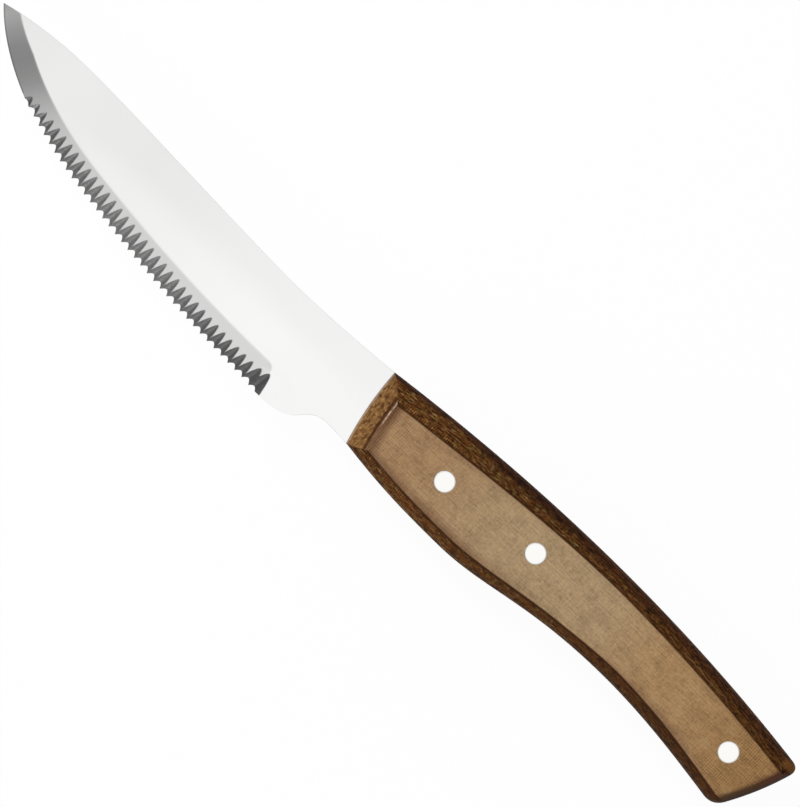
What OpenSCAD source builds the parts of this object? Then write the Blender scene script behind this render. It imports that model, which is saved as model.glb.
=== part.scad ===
// Steak knife with a full tang: one ground and serrated steel blade, two laminate scales,
// and three two-part compression rivets that clamp the scales to the tang.
//
// The knife lies on its side. +X runs from the tip to the butt, +Y from the cutting edge
// to the spine, and +Z up through the handle. The profile is drawn from the tip, with its
// chord along y = 0. The finished knife is then moved so that the origin is under the
// middle of its bounding box, on the surface that the handle lies on.

/* [Blade] */
// Tip to the handle, along the spine
blade_len = 122; // [115:0.1:135]
// Thickness of the steel, blade and tang alike
steel_t = 1.8; // [1.4:0.1:2.6]
// Tip to the place where the cutting edge stops curving
belly_run = 45.4; // [38:0.1:52]
// Chord to the cutting edge at that place
belly_depth = 19.1; // [17.5:0.1:20.5]
// Chord to the deepest point of the heel
heel_depth = 23.8; // [22:0.1:26]
// Length of the curve from the heel up to the neck
heel_run = 15; // [11:0.1:17]
// Length of the straight underside of the neck
neck_len = 5.9; // [4:0.1:8]
// Chord to the neck's underside, where the heel's curve meets it
neck_depth = 17.5; // [16:0.1:18.5]
// Height of the spine at its hump, behind the tip
spine_rise = 2.7; // [1.8:0.05:3.6]
// Height of the spine where it is lowest, ahead of the handle
spine_dip = 0.05; // [0:0.05:0.6]

/* [Bevel] */
// Width of the ground bevel at the tip
bevel_tip_w = 3.6; // [3:0.1:4.4]
// Width of the ground bevel on the curved part of the edge
bevel_belly_w = 5.2; // [4.5:0.1:5.8]
// Width of the ground bevel at the heel
bevel_heel_w = 7.4; // [6.4:0.1:8.4]
// Radius of the corner where the bevel ends, at the heel
bevel_end_r = 2; // [1:0.1:3]
// Distance from the end of the bevel to the heel
bevel_to_heel = 2.5; // [2:0.1:3.2]
// Thickness left at the cutting edge
edge_t = 0.16; // [0.1:0.01:0.25]

/* [Serrations] */
// Tip to the place where the first gullet may start
serration_start = 18.5; // [16:0.5:40]
// Spacing of the gullets along the blade
gullet_pitch = 2.27; // [1.9:0.01:2.3]
// Length of the longest gullets, from the edge to their points on the bevel
gullet_len = 5.1; // [4.4:0.1:5.6]
// Length of the gullets near the heel
gullet_heel_len = 4.6; // [3.8:0.1:5]
// Length of the first gullet, near the tip
gullet_first_len = 1.7; // [1.4:0.1:3]
// Length of the last gullet, at the heel, as far as it lies on the bevel
gullet_last_len = 3.4; // [3:0.1:4.4]
// Depth of the notch that the longest gullets leave in the cutting edge
gullet_notch = 1.25; // [0.9:0.05:1.5]
// Depth of the notch that the first gullet leaves
gullet_first_notch = 0.3; // [0.2:0.05:0.6]
// Depth of the notch that the last gullet leaves
gullet_last_notch = 0.75; // [0.5:0.05:0.9]
// Radius at the root of a gullet
gullet_root_r = 1; // [0.3:0.05:1.2]
// Lean of the gullets towards the handle, in degrees
gullet_lean = 8; // [0:0.5:12]
// Distance from the last gullet to the heel
serration_end = 3.2; // [2.8:0.1:5]

/* [Handle] */
// Handle's front to its upper butt corner, along the back
handle_len = 128.6; // [118:0.1:145]
// Thickness of one scale
scale_t = 5.2; // [4.4:0.1:7]
// Height of the back at the handle's front
front_rise = 1.4; // [0.8:0.1:2.2]
// Chord to the belly at the handle's front
front_depth = 17.8; // [16.5:0.1:19]
// How far the front edge leans back, from its top to its bottom
front_rake = 3.2; // [0:0.1:4.5]
// How far the scales' front edge bows out towards the tip
front_bow = 0.6; // [0.2:0.1:1]
// Height of the back's hump
back_rise = 5.15; // [4:0.05:7]
// Chord to the palm swell, where the handle is deepest
palm_depth = 19.9; // [19:0.1:22]
// Chord to the waist, behind the palm swell
waist_depth = 15.2; // [14:0.1:17]
// Height of the upper butt corner
butt_rise = 0.4; // [0:0.1:1.5]
// Chord to the lower butt corner
butt_depth = 19.3; // [18:0.1:21]
// How far the butt leans forward, from its top to its bottom
butt_rake = 8.7; // [5:0.1:11]
// How far the butt bows out
butt_bow = 0.9; // [0.2:0.1:1.2]
// Length of each side of the upper butt corner that is rounded
butt_top_round = 2.6; // [1.5:0.1:4.5]
// Length of each side of the lower butt corner that is rounded
butt_low_round = 3; // [2:0.1:6]

/* [Handle border] */
// Width of the shaped border along the back, at the front
back_border_front = 5.7; // [4.5:0.1:6.5]
// Width of the shaped border along the back, at the rear
back_border_rear = 4; // [3:0.1:4.8]
// Width of the shaped border along the belly
belly_border = 3; // [2.2:0.1:4]
// Width of the shaped border at the front
front_border = 5.6; // [4:0.1:7]
// Width of the shaped border at the butt
butt_border = 2; // [1.2:0.1:3]

/* [Rivets] */
// Diameter of the rivet heads
rivet_head_d = 5; // [4.6:0.1:6]
// Thickness of the rivet heads
rivet_head_t = 1.4; // [1:0.1:2]
// Outside diameter of the hollow barrel
rivet_barrel_d = 3.8; // [3.4:0.1:4.2]
// Diameter of the solid post that is driven into the barrel
rivet_post_d = 2.6; // [2:0.1:2.9]
// Radial gap between a rivet and the holes that it passes through
rivet_gap = 0.05; // [0.02:0.01:0.1]
// Radial gap between a post and its barrel
post_gap = 0.01; // [0.01:0.005:0.02]
// Gap at each end of the driven rivet: barrel to head, and post to the bore's floor
rivet_end_gap = 0.3; // [0.1:0.05:0.6]
// Thickness of the floor of the barrel's bore, above its head
barrel_floor_t = 1; // [0.5:0.1:2]

/* [Hidden] */

// How far a cutter runs past the face that it cuts
overrun = 1;
// Facets of a round, and steps along the curves
round_fn = 48;
blade_curve_steps = 16;
belly_edge_steps = 14;
straight_edge_steps = 12;
side_steps = 56;
front_steps = 5;
butt_steps = 5;
corner_steps = 6;
gullet_root_steps = 4;
bevel_end_steps = 6;

// Heights and places along the spine and the handle, as shares of the blade or the handle
spine_hump_share = 0.19;
spine_dip_share = 0.77;
palm_share = 0.269;
waist_share = 0.624;
// Inner control points of the curves, as shares of each curve's own run and drop
level_pull_share = 0.22;
tip_rise_shares = [0.24, 0.53];
tip_level_share = 0.4;
edge_tip_shares = [0.084, 0.226];
edge_belly_shares = [0.362, 0.806];
edge_straight_shares = [0.33, 0.63];
dip_end_shares = [0.33, 0.6];
heel_pull_shares = [0.735, 0.5];
back_pull_shares = [0.485, 0.515];
palm_front_shares = [0.33, 0.72];
palm_level_share = 0.43;
palm_back_share = 0.3;
waist_front_share = 0.5;
waist_back_share = 0.38;
butt_front_shares = [0.3, 0.453];
// Where the bevel reaches its belly width, along the cutting edge
bevel_belly_share = 0.1;
// Where the back's border starts and stops narrowing, along the handle
border_narrow_shares = [0.04, 0.6];
// Places of the rivets: along the handle from its front, and down it from the back
rivet_shares = [[0.197, 0.524], [0.4, 0.477], [0.887, 0.494]];
// Heights on a scale, and how much of the border's width is passed at each of them
level_shares = [0, 0.28, 0.5, 0.68, 0.82, 0.93, 1];
side_inset_shares = [0, 0.04, 0.15, 0.34, 0.57, 0.8, 1];
end_inset_shares = [0, 0.05, 0.22, 0.42, 0.62, 0.8, 1];
// How much smaller the rounded corners are round the flat panel
panel_round_share = 0.2;
// Share of the gullets, from the tip, that grow to full length and depth, and how sharply
growing_share = 0.5;
len_power = 5;
notch_power = 20;
// Where the gullets start and stop getting shorter, along the cutting edge
shorter_shares = [0.58, 0.85];
// The largest root radius that still leaves a gullet straight flanks
root_limit_share = 0.9;

total_t = 2 * scale_t + steel_t;
middle_z = total_t / 2;

// A cubic curve from a to d, pulled towards b and c on the way
function curve(a, b, c, d, steps) = [
    for (i = [0 : steps])
        let (t = i / steps, s = 1 - t)
        s * s * s * a + 3 * s * s * t * b + 3 * s * t * t * c + t * t * t * d
];
// A curve that is level at both ends
function swell(a, d, steps) =
    let (pull = [level_pull_share * (d.x - a.x), 0])
    curve(a, a + pull, d - pull, d, steps);
// A rounded corner at c, from a to d
function corner(a, c, d) = [
    for (i = [0 : corner_steps])
        let (t = i / corner_steps, s = 1 - t)
        s * s * a + 2 * s * t * c + t * t * d
];
function without_first(list) = [for (i = [1 : len(list) - 1]) list[i]];
function turned(list) = [for (i = [len(list) - 1 : -1 : 0]) list[i]];
function mix(a, b, t) = a + (b - a) * t;
function towards(a, b, distance) = mix(a, b, distance / norm(b - a));
function clamped(t) = min(1, max(0, t));
// Falls smoothly from 1 to 0 as t goes from one share to the other
function fade(t, shares) = (1 + cos(180 * clamped((t - shares[0]) / (shares[1] - shares[0])))) / 2;

// Corners of the handle, and the curves of its back and belly
front_top = [blade_len, front_rise];
front_low = [blade_len + front_rake, -front_depth];
butt_top = [blade_len + handle_len, butt_rise];
butt_low = [blade_len + handle_len - butt_rake, -butt_depth];
palm = [blade_len + palm_share * handle_len, -palm_depth];
waist = [blade_len + waist_share * handle_len, -waist_depth];

// The heights of the two inner points that lift the middle of the back to back_rise
back_pull = (8 * back_rise - front_rise - butt_rise) / 3;
back_line = curve(
    front_top,
    [mix(front_top.x, butt_top.x, 1 / 3), back_pull_shares[0] * back_pull],
    [mix(front_top.x, butt_top.x, 2 / 3), back_pull_shares[1] * back_pull],
    butt_top,
    side_steps
);
palm_drop = palm - front_low;
palm_front_pull = [palm_front_shares[0] * palm_drop.x, palm_front_shares[1] * palm_drop.y];
waist_run = waist.x - palm.x;
butt_drop = butt_low - waist;
butt_front_pull = [butt_front_shares[0] * butt_drop.x, butt_front_shares[1] * butt_drop.y];
belly_line = concat(
    curve(
        front_low,
        front_low + palm_front_pull,
        palm - [palm_level_share * palm_drop.x, 0],
        palm,
        side_steps
    ),
    without_first(curve(
        palm,
        palm + [palm_back_share * waist_run, 0],
        waist - [waist_front_share * waist_run, 0],
        waist,
        side_steps
    )),
    without_first(curve(
        waist,
        waist + [waist_back_share * butt_drop.x, 0],
        butt_low - butt_front_pull,
        butt_low,
        side_steps
    ))
);

function back_y(x) = lookup(x, back_line);
function belly_y(x) = lookup(x, belly_line);
function along(x) = clamped((x - blade_len) / handle_len);
function back_border(x) = mix(back_border_rear, back_border_front, fade(along(x), border_narrow_shares));
function front_x(y) =
    let (t = (front_top.y - y) / (front_top.y - front_low.y))
    front_top.x + front_rake * t - 4 * front_bow * t * (1 - t);
function butt_straight_x(y) = butt_top.x - butt_rake * (butt_top.y - y) / (butt_top.y - butt_low.y);
function butt_x(y) =
    let (t = (butt_top.y - y) / (butt_top.y - butt_low.y))
    butt_straight_x(y) + 4 * butt_bow * t * (1 - t);

// Half of the handle's outline, drawn in by the given shares of the border's width along
// the sides and at the ends: the back or the belly from the front to its butt corner, and
// then half of the butt. A scale's outline starts with half of its front edge.
function side_y(x, is_back, inset) =
    is_back ? back_y(x) - inset * back_border(x) : belly_y(x) + inset * belly_border;
function side_start(is_back, inset, end_inset) =
    let (y = side_y((is_back ? front_top.x : front_low.x) + end_inset * front_border, is_back, inset))
    [front_x(y) + end_inset * front_border, y];
// Points that bring an end's height in steps from one value to just short of the other
function end_steps(from_y, to_y, steps) =
    [for (i = [1 : steps]) mix(from_y, to_y, (2 * i - 1) / (2 * steps))];
function front_half(is_back, inset, end_inset) =
    let (start_y = side_start(is_back, inset, end_inset).y)
    [for (y = end_steps((front_top.y + front_low.y) / 2, start_y, front_steps))
        [front_x(y) + end_inset * front_border, y]];
function handle_side(is_back, inset, end_inset) =
    let (
        butt = is_back ? butt_top : butt_low,
        other_butt = is_back ? butt_low : butt_top,
        start = side_start(is_back, inset, end_inset),
        butt_inset = end_inset * butt_border,
        corner_y = side_y(butt.x - butt_inset, is_back, inset),
        corner_point = [butt_straight_x(corner_y) - butt_inset, corner_y],
        round_len = (is_back ? butt_top_round : butt_low_round) * mix(1, panel_round_share, inset),
        last_x = corner_point.x - round_len,
        last_point = [last_x, side_y(last_x, is_back, inset)],
        butt_y = towards(corner_point, corner_point + other_butt - butt, round_len).y,
        butt_point = [butt_x(butt_y) - butt_inset, butt_y]
    )
    concat(
        [for (i = [0 : side_steps - 1])
            let (x = mix(start.x, last_x, i / side_steps))
            [x, side_y(x, is_back, inset)]],
        corner(last_point, corner_point, butt_point),
        [for (y = end_steps(butt_y, (butt_top.y + butt_low.y) / 2, butt_steps))
            [butt_x(y) - butt_inset, y]]
    );
handle_outline = concat(handle_side(false, 0, 0), turned(handle_side(true, 0, 0)));
function scale_outline(inset, end_inset) = concat(
    front_half(false, inset, end_inset),
    handle_side(false, inset, end_inset),
    turned(handle_side(true, inset, end_inset)),
    turned(front_half(true, inset, end_inset))
);

// Spine, cutting edge, heel and neck of the blade
tip = [0, 0];
spine_hump = [spine_hump_share * blade_len, spine_rise];
spine_low = [spine_dip_share * blade_len, spine_dip];
dip_drop = front_top - spine_low;
neck = [front_low.x - neck_len, -neck_depth];
heel = [neck.x - heel_run, -heel_depth];
edge_bend = [belly_run, -belly_depth];
edge_drop = heel - edge_bend;

spine_line = concat(
    curve(
        tip,
        [tip_rise_shares[0] * spine_hump.x, tip_rise_shares[1] * spine_hump.y],
        [(1 - tip_level_share) * spine_hump.x, spine_hump.y],
        spine_hump,
        blade_curve_steps
    ),
    without_first(swell(spine_hump, spine_low, blade_curve_steps)),
    without_first(curve(
        spine_low,
        spine_low + [level_pull_share * dip_drop.x, 0],
        front_top - [dip_end_shares[0] * dip_drop.x, dip_end_shares[1] * dip_drop.y],
        front_top,
        blade_curve_steps
    ))
);
edge_line = concat(
    curve(
        tip,
        [edge_tip_shares[0] * edge_bend.x, edge_tip_shares[1] * edge_bend.y],
        [edge_belly_shares[0] * edge_bend.x, edge_belly_shares[1] * edge_bend.y],
        edge_bend,
        belly_edge_steps
    ),
    without_first(curve(
        edge_bend,
        edge_bend + [edge_straight_shares[0] * edge_drop.x, edge_straight_shares[1] * edge_drop.y],
        heel - [edge_straight_shares[0] * edge_drop.x, 0],
        heel,
        straight_edge_steps
    ))
);
heel_line = curve(
    heel,
    heel + [heel_pull_shares[0] * heel_run, 0],
    neck - [heel_pull_shares[1] * heel_run, 0],
    neck,
    blade_curve_steps
);

module steel_profile() {
    polygon(concat(
        edge_line,
        without_first(heel_line),
        handle_outline,
        turned(without_first(spine_line))
    ));
}

// The bevel rises in a straight slope from the cutting edge to the steel's full thickness
edge_steps = len(edge_line) - 1;
function edge_heading(i) =
    let (step = edge_line[min(edge_steps, i + 1)] - edge_line[max(0, i - 1)])
    step / norm(step);
function edge_inward(i) = [-edge_heading(i).y, edge_heading(i).x];
function bevel_w(i) = lookup(edge_line[i].x / heel.x, [
    [0, bevel_tip_w],
    [bevel_belly_share, bevel_belly_w],
    [1, bevel_heel_w]
]);
function bevel_slope(i) = (steel_t - edge_t) / 2 / bevel_w(i);
// Height of the bevel over the steel's middle plane, at a distance in from the edge
function bevel_z(i, distance) = edge_t / 2 + bevel_slope(i) * distance;

// Solid through a row of rings that turn counterclockwise when they are seen from its end.
// caps are the triangles that close the first ring.
module skin(rings, caps) {
    count = len(rings[0]);
    last = (len(rings) - 1) * count;
    polyhedron(
        points = [for (ring = rings, point = ring) point],
        faces = concat(
            [for (k = [0 : len(rings) - 2], i = [0 : count - 1])
                [k * count + i, (k + 1) * count + i, (k + 1) * count + (i + 1) % count]],
            [for (k = [0 : len(rings) - 2], i = [0 : count - 1])
                [k * count + i, (k + 1) * count + (i + 1) % count, k * count + (i + 1) % count]],
            caps,
            [for (cap = caps) [last + cap[2], last + cap[1], last + cap[0]]]
        ),
        convexity = 4
    );
}

// One cross-section of what the bevel's wheel takes away. Section -1 lies ahead of the tip,
// so that the wheel runs clear of it.
function bevel_section(i) =
    let (
        k = max(0, i),
        foot = edge_line[k] - (k - i) * overrun * edge_heading(k),
        outer = foot - overrun * edge_inward(k),
        inner = foot + (bevel_w(k) + overrun) * edge_inward(k),
        top_z = bevel_z(k, bevel_w(k) + overrun)
    )
    [
        [outer.x, outer.y, bevel_z(k, -overrun)],
        [inner.x, inner.y, top_z],
        [outer.x, outer.y, top_z]
    ];

// Where the wheel reaches: up to an end with a rounded corner, near the heel
module bevel_reach() {
    end_x = heel.x - bevel_to_heel;
    corner_x = end_x - bevel_end_r;
    corner_y = lookup(corner_x, edge_line) + bevel_heel_w - bevel_end_r;
    low_y = -heel_depth - overrun;
    polygon(concat(
        [[end_x, low_y], [-bevel_belly_w, low_y]],
        [[-bevel_belly_w, heel_depth], [corner_x, heel_depth]],
        [for (i = [0 : bevel_end_steps])
            let (a = 90 * i / bevel_end_steps)
            [corner_x + bevel_end_r * sin(a), corner_y + bevel_end_r * cos(a)]]
    ));
}

module bevel_grind() {
    intersection() {
        skin([for (i = [-1 : edge_steps]) bevel_section(i)], [[0, 1, 2]]);
        translate([0, 0, -steel_t]) linear_extrude(3 * steel_t) bevel_reach();
    }
}

// Serrations: parallel sloping grooves with a rounded root, all ground from one side. Each
// starts on the bevel, and leaves a notch where it comes out on the far side. Its flanks
// open just far enough for neighbours to meet in a pointed tooth at the cutting edge. Where
// the edge curves, a gullet is rolled so that it stays as deep all along the edge. The last
// gullet is shallower, and its rear flank runs on up to the steel's flat face.
gullet_heading = 90 - gullet_lean;
gullet_direction = [cos(gullet_heading), sin(gullet_heading)];
last_gullet_x = heel.x - serration_end;
// As many gullets as the serrated length has room for
gullets = 1 + floor((last_gullet_x - serration_start) / gullet_pitch);
function gullet_base(i) =
    let (x = last_gullet_x - (gullets - 1 - i) * gullet_pitch)
    [x, lookup(x, edge_line)];
function gullet_growth(i, power) = 1 - pow(1 - min(1, i / (growing_share * gullets)), power);
function full_gullet_len(i) =
    mix(gullet_heel_len, gullet_len, fade(gullet_base(i).x / heel.x, shorter_shares));
function gullet_reach(i) =
    i == gullets - 1 ? gullet_last_len
        : mix(gullet_first_len, full_gullet_len(i), gullet_growth(i, len_power));
function gullet_depth(i) =
    let (full_depth = gullet_notch * full_gullet_len(i) / gullet_len)
    i == gullets - 1 ? gullet_last_notch
        : mix(gullet_first_notch, full_depth, gullet_growth(i, notch_power));
function gullet_step(i) =
    let (x = gullet_base(i).x)
    len([for (point = without_first(edge_line)) if (point.x < x) point]);
// Height of the bevel's surface, at a distance along a gullet from the cutting edge
function gullet_surface_z(i, distance) =
    let (step = gullet_step(i))
    bevel_z(step, distance * gullet_direction * edge_inward(step));
// How fast the root falls, so that it comes out of the far side at the notch's end
function gullet_fall(i) =
    (gullet_surface_z(i, gullet_reach(i)) + gullet_surface_z(i, gullet_depth(i)))
        / (gullet_reach(i) - gullet_depth(i));
// Slope across a gullet, towards the tip, that keeps its depth even along the edge
function gullet_roll(i) =
    let (inward = edge_inward(gullet_step(i)))
    gullet_fall(i) * (inward * [-gullet_direction.y, gullet_direction.x]) / (inward * gullet_direction);
// Depth of the root below the tooth beside it
function gullet_tooth_h(i) =
    gullet_depth(i) * gullet_fall(i) + gullet_surface_z(i, gullet_depth(i)) - gullet_surface_z(i, 0);

module gullet(i) {
    reach = gullet_reach(i);
    tooth_h = gullet_tooth_h(min(i, gullets - 2));
    half_w = gullet_pitch / 2;
    root_r = min(
        gullet_root_r,
        root_limit_share * (half_w * half_w + tooth_h * tooth_h) / (2 * tooth_h)
    );
    // Angle of each flank from the groove's middle plane
    flank = atan2(root_r - tooth_h, half_w)
        + acos(root_r / norm([half_w, root_r - tooth_h]));
    root = [for (k = [0 : gullet_root_steps])
        let (a = (90 - flank) * (2 * k / gullet_root_steps - 1))
        [root_r * sin(a), root_r * (1 - cos(a))]];
    top_z = steel_t + overrun;
    flare = top_z * tan(flank);
    translate(gullet_base(i) + reach * gullet_direction)
        translate([0, 0, gullet_surface_z(i, reach)])
            rotate([0, 0, gullet_heading])
                rotate([atan(gullet_roll(i)), -atan(gullet_fall(i)), 0])
                    translate([-reach - 2 * overrun, 0, 0])
                        rotate([90, 0, 90])
                            linear_extrude(reach + 3 * overrun)
                                polygon(concat(
                                    root,
                                    [root[gullet_root_steps] + [flare, top_z], root[0] + [-flare, top_z]]
                                ));
}

// The middle of the knife's bounding box, seen from above
profile = concat(edge_line, heel_line, handle_outline, spine_line);
profile_x = [for (point = profile) point.x];
profile_y = [for (point = profile) point.y];
middle = [max(profile_x) + min(profile_x), max(profile_y) + min(profile_y)] / 2;

module placed() {
    translate([-middle.x, -middle.y, 0]) children();
}

// Places of the rivets, and the holes for them
rivets = [for (share = rivet_shares)
    let (x = blade_len + share[0] * handle_len)
    [x, mix(back_y(x), belly_y(x), share[1])]];

module at_rivets() {
    for (place = rivets) translate(place) children();
}

module barrel_hole(bottom, height) {
    translate([0, 0, bottom])
        cylinder(d = rivet_barrel_d + 2 * rivet_gap, h = height, $fn = round_fn);
}

module blade() color("gainsboro") placed()
    difference() {
        translate([0, 0, scale_t]) linear_extrude(steel_t) steel_profile();
        translate([0, 0, middle_z]) {
            bevel_grind();
            mirror([0, 0, 1]) bevel_grind();
            for (i = [0 : gullets - 1]) gullet(i);
        }
        at_rivets() barrel_hole(scale_t - overrun, steel_t + 2 * overrun);
    }

// A scale, standing on the tang's face with its flat panel on top
module scale_blank() {
    rings = [for (k = [0 : len(level_shares) - 1])
        [for (point = scale_outline(side_inset_shares[k], end_inset_shares[k]))
            [point.x, point.y, scale_t * level_shares[k]]]];
    count = len(rings[0]);
    caps = [for (i = [0 : count / 2 - 2]) each [
        [i, i + 1, count - 1 - i],
        [i + 1, count - 2 - i, count - 1 - i]
    ]];
    skin(rings, caps);
}

module drilled_scale() {
    difference() {
        scale_blank();
        at_rivets() {
            barrel_hole(-overrun, scale_t + 2 * overrun);
            translate([0, 0, scale_t - rivet_head_t])
                cylinder(d = rivet_head_d + 2 * rivet_gap, h = rivet_head_t + overrun, $fn = round_fn);
        }
    }
}

module left_scale() color("tan") placed()
    translate([0, 0, scale_t + steel_t]) drilled_scale();

module right_scale() color("tan") placed()
    translate([0, 0, scale_t]) mirror([0, 0, 1]) drilled_scale();

// Length of the barrel and its bore, and of the post that enters it, without their heads
barrel_len = total_t - 2 * rivet_head_t - rivet_end_gap;
bore_len = barrel_len - barrel_floor_t;
post_len = bore_len;

// The solid half of a rivet, with its head in the left scale
module rivet_post(place) color("silver") placed() translate(place) {
    translate([0, 0, total_t - rivet_head_t])
        cylinder(d = rivet_head_d, h = rivet_head_t, $fn = round_fn);
    translate([0, 0, total_t - rivet_head_t - post_len])
        cylinder(d = rivet_post_d, h = post_len, $fn = round_fn);
}

// The hollow half of a rivet, with its head in the right scale
module rivet_barrel(place) color("silver") placed() translate(place)
    difference() {
        union() {
            cylinder(d = rivet_head_d, h = rivet_head_t, $fn = round_fn);
            cylinder(d = rivet_barrel_d, h = rivet_head_t + barrel_len, $fn = round_fn);
        }
        translate([0, 0, rivet_head_t + barrel_floor_t])
            cylinder(d = rivet_post_d + 2 * post_gap, h = bore_len + overrun, $fn = round_fn);
    }

module front_rivet_post() { rivet_post(rivets[0]); }
module middle_rivet_post() { rivet_post(rivets[1]); }
module rear_rivet_post() { rivet_post(rivets[2]); }
module front_rivet_barrel() { rivet_barrel(rivets[0]); }
module middle_rivet_barrel() { rivet_barrel(rivets[1]); }
module rear_rivet_barrel() { rivet_barrel(rivets[2]); }

blade();
left_scale();
right_scale();
front_rivet_post();
middle_rivet_post();
rear_rivet_post();
front_rivet_barrel();
middle_rivet_barrel();
rear_rivet_barrel();
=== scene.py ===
# %% [markdown]
# # A steak knife, dressed in Blender
# The CAD model is a steak knife with one ground and serrated steel blade, two laminate
# scales and three compression rivets. It is right in every size, but its faces are coarse
# and bare. In this lesson the CAD solids stay as the frame, and each piece gets a finer
# mesh in the same place and a finish made from nodes. The first cell loads the frame and
# keeps its box, which the last cell prints.

# %% Load the frame
import math

import bmesh
import bpy
import numpy as np
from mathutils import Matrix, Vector


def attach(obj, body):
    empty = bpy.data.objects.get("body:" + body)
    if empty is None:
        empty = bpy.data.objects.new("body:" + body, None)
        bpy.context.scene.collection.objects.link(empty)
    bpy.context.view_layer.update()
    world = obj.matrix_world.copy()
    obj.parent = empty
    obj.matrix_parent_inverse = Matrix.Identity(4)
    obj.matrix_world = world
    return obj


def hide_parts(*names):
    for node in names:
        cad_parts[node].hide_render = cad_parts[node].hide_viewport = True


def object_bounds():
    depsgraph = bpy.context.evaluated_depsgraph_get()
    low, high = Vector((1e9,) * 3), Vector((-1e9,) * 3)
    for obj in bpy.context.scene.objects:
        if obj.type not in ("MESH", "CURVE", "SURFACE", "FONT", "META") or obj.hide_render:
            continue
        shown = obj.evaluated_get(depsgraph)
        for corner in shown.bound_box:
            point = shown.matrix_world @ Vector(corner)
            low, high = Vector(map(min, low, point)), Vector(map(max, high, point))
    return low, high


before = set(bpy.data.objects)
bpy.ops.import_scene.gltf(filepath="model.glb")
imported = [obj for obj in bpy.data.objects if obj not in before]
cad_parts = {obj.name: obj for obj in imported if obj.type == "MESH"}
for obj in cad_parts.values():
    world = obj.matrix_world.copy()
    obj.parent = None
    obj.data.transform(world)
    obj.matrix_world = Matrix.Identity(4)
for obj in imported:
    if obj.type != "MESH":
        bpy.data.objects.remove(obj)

cad_low, cad_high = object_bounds()
print("nodes:", sorted(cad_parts))
print("CAD box in mm:", [round(1000 * side, 2) for side in cad_high - cad_low])

# %% [markdown]
# ## One drawing, in millimetres
# A cutler draws a knife from the tip: x runs to the butt, y up to the spine. All outlines
# here are in such millimetres, as in the CAD source, and one function moves them to the
# frame, where the origin is under the middle of the knife, in metres. The steel lies
# between the scales, so its faces are half its thickness above and below `MIDDLE_Z`.

# %% From the drawing to the frame
STEEL_T = 1.8
SCALE_T = 5.2
HALF_T = STEEL_T / 2
MIDDLE_Z = SCALE_T + HALF_T
TIP_AT = (-125.032, 9.324)
MM = 0.001


def to_frame(points):
    """Points of the drawing, in mm with z over the middle of the steel, as frame points in metres."""
    placed = (np.asarray(points, float) + [*TIP_AT, MIDDLE_Z]) * MM
    return np.clip(placed, cad_low, cad_high)


def curve(a, b, c, d, steps=160):
    """Points on a cubic curve from a to d that is pulled towards b and c."""
    a, b, c, d = (np.array(point, float) for point in (a, b, c, d))
    t = np.linspace(0, 1, steps + 1)[:, None]
    return (1 - t) ** 3 * a + 3 * (1 - t) ** 2 * t * b + 3 * (1 - t) * t * t * c + t ** 3 * d


def bend(a, b, leave, arrive):
    """A curve from a to b. Each end is pulled along by a share of the run in x and in y."""
    return curve(a, a + (b - a) * leave, b - (b - a) * arrive, b)


def mix(a, b, t):
    """What lies a share t of the way from a to b."""
    return a + (b - a) * t


def ease(value, start, run):
    """Rises from 0 to 1 along half a cosine wave, from start on and over a run."""
    return (1 - np.cos(np.pi * np.clip((value - start) / run, 0, 1))) / 2


def smooth(low, high, value):
    """Rises softly from 0 to 1 while value goes from low to high."""
    t = np.clip((value - low) / (high - low), 0, 1)
    return t * t * (3 - 2 * t)


print("tip in the frame:", to_frame([[0, 0, 0]])[0].round(5))

# %% [markdown]
# ## Camera
# The photograph looks straight down on the knife, which lies from the upper left to the
# lower right. A long lens far away keeps the outline free of perspective, as the photo's
# is. Turning the camera is simpler than turning the knife, which has to stay in the frame.

# %% Set up the camera
PICTURE = (800, 807)
PIXELS_PER_MM = 4.41
PICTURE_MIDDLE = (127.76, -2.85)
CAMERA_TURN = 44.04
CAMERA_DISTANCE = 3.0


def add_object(name, data):
    """A new object in the scene that shows a camera, a lamp or a mesh."""
    made = bpy.data.objects.new(name, data)
    bpy.context.scene.collection.objects.link(made)
    return made


camera_data = bpy.data.cameras.new("camera")
camera_data.sensor_width = 36
long_side = max(PICTURE) / PIXELS_PER_MM * MM
camera_data.lens = camera_data.sensor_width * CAMERA_DISTANCE / long_side
camera_data.clip_end = 20
camera = add_object("camera", camera_data)
camera.location = Vector(to_frame([[*PICTURE_MIDDLE, 0]])[0]) + Vector((0, 0, CAMERA_DISTANCE))
camera.rotation_euler = (0, 0, math.radians(CAMERA_TURN))
bpy.context.scene.camera = camera
bpy.context.scene.view_settings.view_transform = "Standard"
print("lens in mm:", round(camera_data.lens), "picture height in mm:", round(long_side / MM, 1))

# %% [markdown]
# ## Words for finishes
# Each finish is a small net of nodes. Written out in full, such nets are long and hard to
# read, so two classes give short words for them. A `Value` is one output of a node. It can
# be added, subtracted, multiplied and divided as a number can, and each sign makes one Math
# node. A `Finish` is the whole net, with words for what starts or ends one.

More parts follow.
